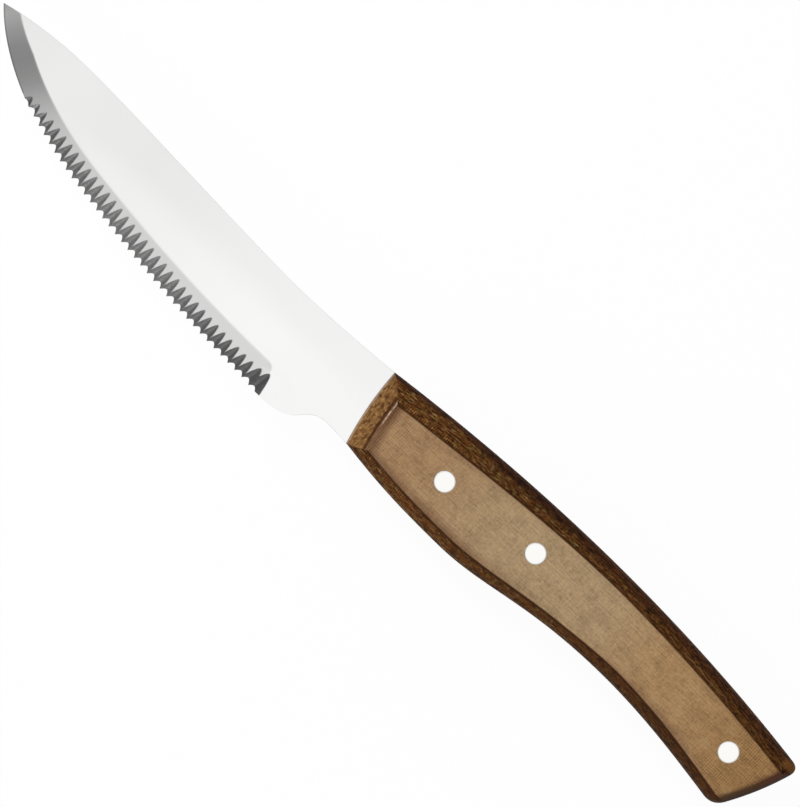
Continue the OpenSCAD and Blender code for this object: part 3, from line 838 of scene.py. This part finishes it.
brushed = steel.noise(x * 0.12, y * 9.0, z, 3.0, 0.6)
ground_across = steel.noise(x * 7.0, y * 0.5, z, 3.0, 0.6)
cloudy = steel.noise(x * 0.05, y * 0.12, 3.0, 1.0)
# Painted reflection: the flats grow lighter along the blade and towards the edge.
painted_light_toward_edge = y.step(-3.0, -12.0, 0.0, 0.06) * x.step(25.0, 50.0) * x.step(92.0, 108.0, 1.0, 0.6)
face_painted_reflection = x.levels(FACE_PAINTED_REFLECTION) + painted_light_toward_edge + (cloudy - 0.5) * 0.03

# Painted shade: the bevel's tone changes along the blade and is darker still at the bare cutting edge by
# the tip.
bare_edge_painted_shade = flank_painted_shade_mask * x.step(17.6, 17.4)
square_to_edge = x * 0.64 - y * 0.45
bevel_painted_reflection = square_to_edge.levels(BEVEL_PAINTED_REFLECTION) * (1 - bare_edge_painted_shade * 0.4)
grit = steel.noise(x * 3.5, y * 1.4, z, 2.0, 0.6)
# Painted shade: the gullets are dark, darker still on their right flanks, over the grit's own random tone.
gullet_grit_and_painted_shade = x.levels(GULLET_PAINTED_SHADE) * (grit * 0.7 + 0.65) * (1 - flank_painted_shade_mask * 0.35)
level = gullet_mark.mix(bevel_mark.mix(face_painted_reflection, bevel_painted_reflection), gullet_grit_and_painted_shade)
level = level * (bevel_mark.mix(brushed, ground_across) * 0.05 + 0.975)

facing = steel.split(steel.value("NewGeometry", output="Normal"))
sheared_rim = abs(facing[2]).step(0.1, 0.25, 1.0, 0.0)
shear_marks = steel.noise(x * 1.6, y * 1.6, z * 0.8, 2.0, 0.7)
level = level * sheared_rim.mix(1.0, shear_marks * 0.3 + 0.52)
steel.surface({
    "Base Color": level.tint(1.0, 1.0, 0.995),
    "Metallic": 1.0,
    "Roughness": bevel_mark * 0.04 + gullet_mark * 0.22 + sheared_rim * 0.15 + 0.2,
    "Normal": steel.bump(bevel_mark.mix(brushed * 0.5, ground_across), 0.002),
})
blade_mesh.materials.append(steel.owner)
print("nodes in the steel's net:", len(steel.tree.nodes))

# %% [markdown]
# ## The scales
# Each scale is one block of linen laminate. Its outline is cut flush with the tang. Its
# flat panel is one ply of cloth. Round the panel the block is sanded away to a border,
# steep at the rim and gentle near the panel, and that lays bare the edges of the plies
# below. The mesh is a stack of rings, each the handle's outline drawn in a little further
# and raised a little higher. A groove is filed across the front, and behind it stands a
# thin bead, on which the finish paints a pale highlight.

# %% Heights of the border's rings
LEVELS = (0, 0.28, 0.5, 0.68, 0.82, 0.93, 1)
SIDE_INSETS = (0, 0.04, 0.15, 0.34, 0.57, 0.8, 1)
END_INSETS = (0, 0.05, 0.22, 0.42, 0.62, 0.8, 1)


def fair(values, at):
    """A fair curve through evenly numbered values, read at fractional numbers."""
    values = np.array(values, float)
    slopes = np.gradient(values)
    slopes[0], slopes[-1] = values[1] - values[0], values[-1] - values[-2]
    k = np.minimum(at.astype(int), len(values) - 2)
    t = at - k
    start, end = values[k], values[k + 1]
    return (
        (1 + 2 * t) * (1 - t) ** 2 * start + t * (1 - t) ** 2 * slopes[k]
        + t * t * (3 - 2 * t) * end + t * t * (t - 1) * slopes[k + 1]
    )


ring_at = np.concatenate((np.linspace(0, 5, 26)[:-1], np.linspace(5, 6, 13)))
ring_levels, ring_sides, ring_ends = (fair(v, ring_at) for v in (LEVELS, SIDE_INSETS, END_INSETS))
ring_levels[-1] = ring_sides[-1] = ring_ends[-1] = 1
PANEL_RINGS_MM = (0.15, 0.4, 0.9, 1.5, 2.2)
print("rings on the border:", len(ring_at), "and on the panel:", len(PANEL_RINGS_MM))

# %% Points of the rings
GROOVE_AT, GROOVE_HALF, GROOVE_DEEP = 4.3, 0.45, 0.25
BEAD_AT, BEAD_HALF, BEAD_HIGH = 4.95, 0.25, 0.08
GROOVE_ENDS = ((-1.6, -3.0), (-15.6, -12.6))     # at each end, y where it starts and where it is full
BEAD_ENDS = ((-2.2, -3.2), (-12.6, -9.0))


def ring(side_inset, end_inset, level):
    """One ring's points, and for each point its distance in from the rim and out from the panel."""
    belly = half_outline(False, side_inset, end_inset)
    back = half_outline(True, side_inset, end_inset)
    outline = np.concatenate((belly, back[::-1]))
    half = len(belly)
    is_end = np.ones(half)
    is_end[END_STEPS:END_STEPS + SIDE_STEPS + CORNER_STEPS // 2] = 0
    is_end = np.concatenate((is_end, is_end[::-1]))
    is_back = np.repeat((0.0, 1.0), half)
    is_front = is_end * (outline[:, 0] < WAIST[0])
    width = np.where(is_back > 0, back_border(outline[:, 0]), BELLY_BORDER)
    width = np.where(is_end > 0, np.where(is_front > 0, FRONT_BORDER, BUTT_BORDER), width)
    inset = np.where(is_end > 0, end_inset, side_inset)
    inward = inset * width
    groove = is_front * smooth(GROOVE_HALF, 0, np.abs(inward - GROOVE_AT))
    bead = is_front * smooth(BEAD_HALF, 0, np.abs(inward - BEAD_AT))
    for line, ends in ((groove, GROOVE_ENDS), (bead, BEAD_ENDS)):
        for start_y, full_y in ends:
            line *= smooth(start_y, full_y, outline[:, 1])
    height = np.minimum(SCALE_T * level - GROOVE_DEEP * groove + BEAD_HIGH * bead, SCALE_T)
    return outline, height, inward, width - inward, is_end


rings = [ring(*shares) for shares in zip(ring_sides, ring_ends, ring_levels)]
for inside in PANEL_RINGS_MM:
    rings.append(ring(1 + inside / BELLY_BORDER, 1 + inside / FRONT_BORDER, 1))
print("points on a ring:", len(rings[0][0]))

# %% Rows of points and the faces between them
ALONG_SHARES = np.array((0.197, 0.4, 0.887))
DOWN_SHARES = np.array((0.524, 0.477, 0.494))
BORE_R, SINK_R, SINK_DEEP = 1.95, 2.51, 1.4
ROUND_STEPS = 96

rivet_xs = BLADE_LEN + ALONG_SHARES * HANDLE_LEN
rivet_ys = mix(side_y(rivet_xs, True, 0), side_y(rivet_xs, False, 0), DOWN_SHARES)
turn = np.linspace(0, 2 * np.pi, ROUND_STEPS, endpoint=False)
circle = np.stack((np.cos(turn), np.sin(turn)), 1)


def add_loop(made, points, height):
    """A closed row of points, without any face yet."""
    heights = np.broadcast_to(height, len(points))
    return [made.verts.new((*point, h)) for point, h in zip(points, heights)]


def join_loops(made, a, b):
    """A band of faces between two closed rows, of which one may be a single point."""
    for k in range(max(len(a), len(b))):
        band = [a[k % len(a)], a[(k + 1) % len(a)], b[(k + 1) % len(b)], b[k % len(b)]]
        made.faces.new(list(dict.fromkeys(band)))


def close_flat(made, loops):
    """Fills the flat area between one outer row of points and the holes in it."""
    edges = []
    for loop in loops:
        for k in range(len(loop)):
            edges.append(made.edges.get((loop[k], loop[(k + 1) % len(loop)])))
    bmesh.ops.triangle_fill(made, edges=edges, use_beauty=True)


def to_mesh(made, name, side=1):
    """What was made in the drawing as a mesh in the frame, turned upside down for side -1."""
    bmesh.ops.recalc_face_normals(made, faces=made.faces)
    mesh = bpy.data.meshes.new(name)
    made.verts.index_update()
    made.to_mesh(mesh)
    made.free()
    points = np.zeros(len(mesh.vertices) * 3)
    mesh.vertices.foreach_get("co", points)
    mesh.vertices.foreach_set("co", to_frame(points.reshape(-1, 3) * (1, 1, side)).ravel())
    if side < 0:
        mesh.flip_normals()
    mesh.update()
    return mesh


print("points round a bore:", len(circle))


# %% Build both scales
def scale_mesh(name, side):
    """The scale on one side of the tang: side is 1 for the left one, on top, and -1 below."""
    made = bmesh.new()
    loops = [add_loop(made, outline, HALF_T + height) for outline, height, *_ in rings]
    for lower_loop, upper_loop in zip(loops, loops[1:]):
        join_loops(made, lower_loop, upper_loop)
    foot, top = HALF_T, HALF_T + SCALE_T
    sink_z = top - SINK_DEEP
    top_holes, foot_holes = [], []
    for centre in zip(rivet_xs, rivet_ys):
        steps = ((SINK_R, top), (SINK_R, sink_z), (BORE_R, sink_z), (BORE_R, foot))
        bore = [add_loop(made, circle * radius + centre, height) for radius, height in steps]
        for upper_loop, lower_loop in zip(bore, bore[1:]):
            join_loops(made, upper_loop, lower_loop)
        top_holes.append(bore[0])
        foot_holes.append(bore[-1])
    made.edges.ensure_lookup_table()
    close_flat(made, [loops[-1], *top_holes])
    close_flat(made, [loops[0], *foot_holes])
    mesh = to_mesh(made, name, side)
    border = np.full((len(mesh.vertices), 3), (9.0, -9.0, 0.0))
    ringed = np.concatenate([np.stack(marks, 1) for _, _, *marks in rings])
    border[:len(ringed)] = ringed
    remember(mesh, "border", border)
    return mesh


left_mesh, right_mesh = scale_mesh("left_laminate", 1), scale_mesh("right_laminate", -1)
add_piece(left_mesh, ["left_scale"])
add_piece(right_mesh, ["right_scale"])
print("faces of a scale:", len(left_mesh.polygons))

# %% [markdown]
# ## Linen laminate: the panel
# The laminate is plain linen cloth soaked in resin. On the flat panel the weave shows as a
# grid of threads with dark pinholes, clear at both ends and sanded faint in between. Thick
# threads, or slubs, make long pale and dark streaks. The mesh attribute gives each point
# its distance from the rim and from the panel, so the colours can follow the shape. Along
# parts of the belly the tan ply runs a little further down than the panel does.

# %% Weave of the cloth
THREAD = 0.58
PLY_DOWN_MM = [
    (130.0, 0.0), (165.0, 0.0), (178.0, 0.33), (190.0, 0.48), (205.0, 0.03), (222.0, 0.18), (240.0, 0.6),
]

cloth = Finish(bpy.data.materials.new("linen_laminate"))
x, y, _ = cloth.drawing_place()
from_rim, from_panel, at_end = cloth.attribute("border")
from_panel = from_panel - x.levels(PLY_DOWN_MM) * y.step(-8.0, -9.5)

sway = cloth.noise(x * 0.5, y * 0.5, 0.0, 3.0, 0.7)
sine_x = cloth.math("SINE", (x + sway * 0.7) * (math.pi / THREAD))
sine_y = cloth.math("SINE", (y - sway * 0.7) * (math.pi / THREAD))
over_under = sine_x * sine_y * 0.2
weave = (abs(sine_x) * (0.8 + over_under)).most(abs(sine_y) * (0.8 - over_under))
print("threads in 10 mm:", round(10 / THREAD))

# %% Threads and blots of the panel
patches = cloth.noise(x * 0.11, y * 0.17, 1.0)
slubs = cloth.noise(x * 0.14, y * 2.6, 5.0, 3.0, 0.6)
cross_slubs = cloth.noise(x * 2.4, y * 0.2, 9.0, 2.0, 0.6)
fine = cloth.noise(x * 1.9, y * 1.9, 3.8, 3.0, 0.75)
flecks = cloth.noise(x * 0.8, y * 2.2, 11.0, 2.0, 0.7)
cross_flecks = cloth.noise(x * 2.2, y * 0.8, 13.0, 2.0, 0.7)
clouds = cloth.noise(x * 0.22, y * 0.25, 17.0, 3.0, 0.6)

clear_front = x.step(141.0, 131.0) * patches.step(0.30, 0.6, 0.5, 0.9)
clear_rear = x.step(222.0, 238.0) * patches.step(0.35, 0.55, 0.2, 1.1)
in_patches = patches.step(0.54, 0.68, 0.0, 0.35)
weave_shown = clear_front.most(clear_rear).most(in_patches) + 0.06
print("nodes so far:", len(cloth.tree.nodes))

# %% Colour of the panel
FRONT_TAN = (0.368, 0.222, 0.112)
TANS = [     # from this x, fully at that x, and the colour from there on
    (138.0, 168.0, (0.402, 0.276, 0.152)),
    (190.0, 215.0, (0.385, 0.232, 0.108)),
    (218.0, 244.0, (0.315, 0.174, 0.069)),
]
LOW_TAN, CLOUD_TAN = (0.225, 0.125, 0.065), (0.365, 0.262, 0.130)
LOW_SHARES = [
    (130.0, 1.0), (158.0, 0.95), (176.0, 0.3), (196.0, 0.15), (207.0, 0.5), (222.0, 0.8), (240.0, 0.2),
]

panel = FRONT_TAN
for start_x, full_x, tan in TANS:
    panel = x.step(start_x, full_x).blend(panel, tan)
low_part = from_panel.step(-2.8, 0.0) * y.step(-6.0, -13.0, 0.3, 1.0) * x.levels(LOW_SHARES)
panel = low_part.blend(panel, LOW_TAN)
level = slubs * 0.7 + 0.65
for threads, swing in ((cross_slubs, 0.38), (fine, 0.6), (flecks, 0.6), (cross_flecks, 0.5), (clouds, 0.7)):
    level = level + (threads - 0.5) * swing
panel = panel.shade(level + (weave - 0.68) * weave_shown * 0.6)
panel = clouds.step(0.55, 0.75, 0.0, 0.5).blend(panel, CLOUD_TAN)
print("nodes so far:", len(cloth.tree.nodes))

# %% [markdown]
# ## Linen laminate: the border
# On the border the sanding cuts through the plies at a slant, so their edges make dark and
# pale streaks that follow the outline, with olive blots of resin. The line round the panel
# is nearly black, and so is the rim, whose dark colour is partly the laminate's own and
# partly painted shade on its steep slope. Each colour is laid over the ones before it, by a
# share that says where it shows.

# %% Browns along the sides
# Both rim colours are partly the laminate's dark edge and partly painted shade on the steep rim.
DARK_RIM_AND_SHADE, DARK_REAR_RIM_AND_SHADE = (0.038, 0.0115, 0.0035), (0.056, 0.0185, 0.0050)
BROWN, BELLY_BROWN = (0.084, 0.0295, 0.0060), (0.125, 0.0415, 0.0085)
OLIVE_RESIN, PALE_PLY = (0.150, 0.088, 0.020), (0.33, 0.215, 0.09)
BELLY_SHADES = [(130.0, 0.76), (145.0, 0.94), (162.0, 0.93), (175.0, 0.84), (190.0, 0.80), (215.0, 0.62)]

streak = cloth.noise(x * 0.34, from_rim * 3.0, at_end, 3.0, 0.65)
broad = cloth.noise(x * 0.13, from_rim * 0.8, 3.0)
dashes = cloth.noise(x * 0.5, from_rim * 4.2, 8.0, 2.0, 0.6)
blots = cloth.noise(x * 0.7, y * 0.8, 4.0)
specks = cloth.noise(x * 1.7, y * 1.7, 15.0, 2.0, 0.7)

rim_w = x.step(140.0, 156.0, 1.7, 2.7) + y.step(-8.0, -12.0, 0.0, -1.9)
inner = (from_rim + broad * 1.8 - rim_w).step(-0.3, 0.9)
inner_front = inner * x.step(165.0, 210.0, 1.0, 0.35)
# The rim's near-black is partly painted shade.
brown = inner.blend(x.step(165.0, 200.0).blend(DARK_RIM_AND_SHADE, DARK_REAR_RIM_AND_SHADE), BROWN)
mottling = streak.step(0.34, 0.66, 0.25, 1.85) * specks.step(0.35, 0.65, 0.6, 1.4)
brown = brown.shade(mottling * x.step(140.0, 156.0, 1.0, 0.82))
brown = (blots.step(0.54, 0.64, 0.0, 0.6) * inner_front).blend(brown, OLIVE_RESIN)
brown = (dashes.step(0.57, 0.68, 0.0, 0.8) * inner_front).blend(brown, PALE_PLY)
belly = y.step(-9.0, -11.0) * from_rim.band(1.5, 0.4, 0.6)
brown = (belly * broad.step(0.35, 0.65, 0.1, 0.5)).blend(brown, BELLY_BROWN)
brown = brown.shade(y.step(-8.0, -11.0).mix(1.0, x.levels(BELLY_SHADES)))
print("nodes so far:", len(cloth.tree.nodes))

# %% Lines and marks on the border
PANEL_LINE, PALE_CURL, AMBER_BLOT = (0.038, 0.012, 0.004), (0.26, 0.14, 0.055), (0.25, 0.10, 0.022)

ticks = from_panel.band(0.8, 0.5, 0.3) * x.step(152.0, 142.0)
brown = brown.shade(ticks.mix(1.0, abs(sine_x) * 1.3 + 0.35))
curl = from_panel - cloth.noise(x * 0.4, 0.0, 0.0, 1.0) * 2.0
curl_line = curl.band(0.0, 0.06, 0.16) * x.band(221.0, 6.0, 3.0) * y.step(-4.0, -2.0)
brown = (curl_line * 0.35).blend(brown, PALE_CURL)
line_share = y.step(-8.0, -4.0).mix(0.8, x.step(180.0, 200.0, 0.8, 0.35))
brown = (from_panel.band(0.25, 0.1, 0.4) * line_share).blend(brown, PANEL_LINE)
blot_at_butt = x.band(248.3, 1.0, 1.6) * y.band(-0.7, 0.4, 0.9)
brown = (blot_at_butt * 0.5).blend(brown, AMBER_BLOT)
print("nodes so far:", len(cloth.tree.nodes))

# %% [markdown]
# ## Linen laminate: the two ends
# The front facet cuts across the threads, and shows golden mottled grain up to the filed
# groove, with dark weave behind it. Painted shade darkens the groove and the facet's top,
# and painted highlights lighten its outer rim and the bead. At the butt the tan ply fades
# into the dark rim. The functions that drew the front and the butt take a `Value` as well as
# a number, so the same words now tell the finish how far a point lies from each.

# %% The front facet
LOW_PORES, HIGH_PORES = (0.122, 0.051, 0.0145), (0.092, 0.033, 0.0085)
GOLD, PALE_GOLD = (0.265, 0.133, 0.045), (0.36, 0.205, 0.080)
# On this line: a painted highlight for the facet's outer rim, then painted shade for the facet's top.
RIM_PAINTED_HIGHLIGHT, TOP_PAINTED_SHADE = (0.46, 0.38, 0.30), (0.06, 0.028, 0.010)
# On this line: the dark weave, then painted shade for the groove, then a painted highlight for the bead.
DARK_WEAVE, GROOVE_PAINTED_SHADE, BEAD_PAINTED_HIGHLIGHT = (0.130, 0.055, 0.024), (0.052, 0.0175, 0.0065), (0.56, 0.42, 0.32)

mottle = cloth.noise(x * 0.9, y * 0.7, 6.0, 3.0, 0.7)
grain = cloth.noise(x * 2.4, y * 0.9, 7.0, 2.0, 0.6)
golden = mottle.step(0.36, 0.64).blend(y.step(-13.0, -8.0).blend(LOW_PORES, HIGH_PORES), GOLD)
golden = grain.step(0.53, 0.68, 0.0, 0.6).blend(golden, PALE_GOLD).shade(grain + 0.45)
# Painted highlight: a pale line along the facet's outer rim.
golden = from_rim.step(0.7, 0.2, 0.0, 0.45).blend(golden, RIM_PAINTED_HIGHLIGHT)
# Painted shade: the facet's top, which turns away from the light, is darkened.
golden = y.step(-2.6, 0.2, 0.0, 0.22).blend(golden, TOP_PAINTED_SHADE)

strip = (x - front_x(y)).step(5.4, 7.9, 1.0, 0.0) * y.step(-13.0, -6.0).mix(0.38, 0.95)
panel = strip.blend(panel, cloth.vector(*DARK_WEAVE).shade(weave * 1.2 + 0.2))
golden = from_rim.step(4.5, 4.8).blend(golden, panel)
# Painted shade: the groove is darkened along its line.
groove_line = from_rim.band(GROOVE_AT, 0.15, 0.35) * y.step(0.5, -2.0, 0.5, 1.0)
golden = (groove_line * 0.85).blend(golden, GROOVE_PAINTED_SHADE)
# Painted highlight: a pale line along the bead.
bead = from_rim.band(BEAD_AT, 0.05, 0.2) * y.band(-5.2, 2.2, 2.8) * grain.step(0.35, 0.55, 0.25, 0.95)
golden = bead.blend(golden, BEAD_PAINTED_HIGHLIGHT)
print("nodes so far:", len(cloth.tree.nodes))

# %% The butt, and all together
LOW_PLUM, PLUM = (0.060, 0.027, 0.011), (0.076, 0.027, 0.013)

from_butt = butt_x(y) - x
faded = (from_butt + streak * 1.2 + y.step(-7.0, -12.0, 0.0, 0.3)).step(2.1, 4.1)
plum = y.step(-10.0, -7.0).blend(LOW_PLUM, PLUM).shade(from_butt.step(0.2, 1.4, 0.5, 1.1))
butt = faded.blend(plum, panel)
panel = x.step(228.0, 234.0).blend(panel, butt)

at_front = at_end * x.step(180.0, 170.0)
at_butt = from_butt.step(3.5, 2.9) * y.band(-9.85, 6.75, 0.3)
outside = at_front.blend(at_butt.blend(brown, butt), golden)
in_border = from_panel.step(-0.2, 0.2)
cloth_height = weave * weave_shown * 0.7 + fine * 0.7
border_height = streak * 1.6 + mottle * 0.9
cloth.surface({
    "Base Color": in_border.blend(panel, outside),
    "Roughness": fine * 0.2 + 0.55,
    "Specular IOR Level": 0.05,
    "Normal": cloth.bump(in_border.mix(cloth_height, border_height), 0.05),
})
for mesh in (left_mesh, right_mesh):
    mesh.materials.append(cloth.owner)
print("nodes in the laminate's net:", len(cloth.tree.nodes))

# %% [markdown]
# ## The rivets
# A compression rivet is turned on a lathe in two halves, a post and a barrel that takes
# it, each with a flat head that sits flush in the scale. A lathe piece is a profile spun
# round an axis, so each half is made from a short list of radii and heights. The heads'
# rims are broken by a tiny chamfer, as sanding leaves them.

# %% Spin the two halves
HEAD_R, HEAD_T, POST_R, BARREL_R = 2.5, 1.4, 1.3, 1.9
POST_GAP, END_GAP, FLOOR_T = 0.01, 0.3, 1.0
CHAMFER, CROWN, POST_BREAK = 0.025, 0.02, 0.2

barrel_end = 2 * MIDDLE_Z - HEAD_T - END_GAP
post_end = barrel_end - FLOOR_T
head_profile = [
    (0, 0), (0.8, 0.002), (1.6, 0.007), (2.1, 0.013), (HEAD_R - CHAMFER, CROWN),
    (HEAD_R - 0.3 * CHAMFER, CROWN + 0.3 * CHAMFER), (HEAD_R, CROWN + CHAMFER), (HEAD_R, HEAD_T),
]
post_profile = head_profile + [
    (POST_R, HEAD_T), (POST_R, post_end - POST_BREAK), (POST_R - POST_BREAK, post_end), (0, post_end),
]
barrel_profile = head_profile + [
    (BARREL_R, HEAD_T), (BARREL_R, barrel_end), (POST_R + POST_GAP, barrel_end),
    (POST_R + POST_GAP, HEAD_T + FLOOR_T), (0, HEAD_T + FLOOR_T),
]


def spin(name, profile, centre, side):
    """A profile of radii and depths below a head, spun round a rivet's axis."""
    made = bmesh.new()
    loops = []
    for radius, depth_below in profile:
        row = circle * radius if radius else np.zeros((1, 2))
        loops.append(add_loop(made, row + centre, side * (MIDDLE_Z - depth_below)))
    for upper_loop, lower_loop in zip(loops, loops[1:]):
        join_loops(made, upper_loop, lower_loop)
    return to_mesh(made, name)


print("barrel in mm:", round(barrel_end, 2), "post in mm:", round(post_end, 2))

# %% [markdown]
# ## Rivet metal
# Rivet heads are sanded flush together with the scale, so they carry fine scratches in
# all directions and no polish. Seen straight on they look almost white.

# %% The rivets' material
sanded = Finish(bpy.data.materials.new("sanded_aluminium"))
x, y, z = sanded.drawing_place()
cross_scratches = sanded.noise(x * 8.0, y * 1.2, z, 3.0, 0.6)
scratches = (sanded.noise(x * 0.9, y * 9.0, z, 3.0, 0.6) + cross_scratches) * 0.5
sanded.surface({
    "Base Color": (scratches * 0.02 + 0.97).tint(1.01, 1.0, 0.97),
    "Metallic": 1.0,
    "Roughness": scratches * 0.1 + 0.1,
    "Normal": sanded.bump(scratches, 0.0006),
})

for which, centre in zip(("front", "middle", "rear"), zip(rivet_xs, rivet_ys)):
    for half, profile, side in (("post", post_profile, 1), ("barrel", barrel_profile, -1)):
        mesh = spin(f"{which}_turned_{half}", profile, centre, side)
        mesh.materials.append(sanded.owner)
        add_piece(mesh, [f"{which}_rivet_{half}"])

# %% [markdown] ## The CAD box Nothing that was added may reach outside the CAD
# model's box. The last cell prints that box.

# %% Print the CAD box
print("CAD box:", cad_low, cad_high)
